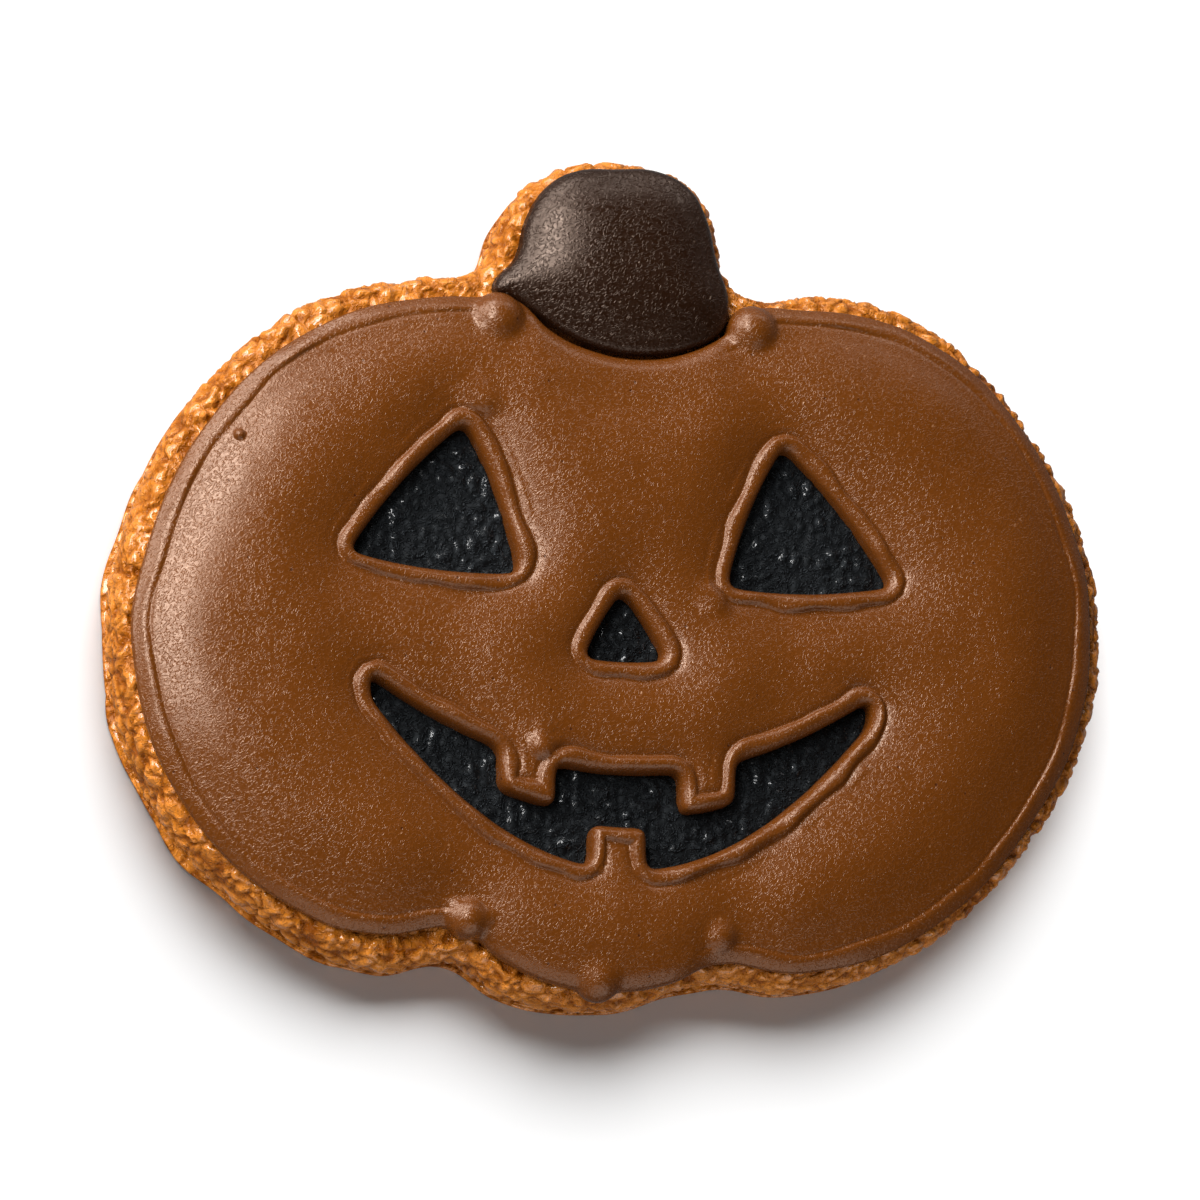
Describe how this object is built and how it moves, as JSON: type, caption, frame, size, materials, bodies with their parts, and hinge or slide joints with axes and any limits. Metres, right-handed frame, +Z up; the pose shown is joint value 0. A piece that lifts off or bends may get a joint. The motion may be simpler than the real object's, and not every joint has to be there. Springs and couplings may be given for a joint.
{
  "type": "iced pumpkin-shaped biscuit",
  "caption": "Flat baked biscuit cut as a pumpkin, with piped milk-chocolate icing, a dark chocolate stem and a lantern face filled with black icing.",
  "frame": {"origin": "on the surface it lies on, under the middle of the biscuit's bounding box", "axes": "+Z up out of the iced side, +Y towards the stem, +X along the pumpkin's width"},
  "size_m": [0.1, 0.0844, 0.0107],
  "materials": {
    "baked_biscuit": "matt, craggy baked crust",
    "milk_chocolate_icing": "satin poured icing",
    "dark_chocolate_icing": "satin poured icing",
    "black_icing": "matt, crumbly icing"
  },
  "bodies": {
    "root": {"biscuit": "baked_biscuit", "milk_icing": "milk_chocolate_icing", "stem_icing": "dark_chocolate_icing", "left_eye_fill": "black_icing", "right_eye_fill": "black_icing", "nose_fill": "black_icing", "mouth_fill": "black_icing"}
  },
  "joints": []
}
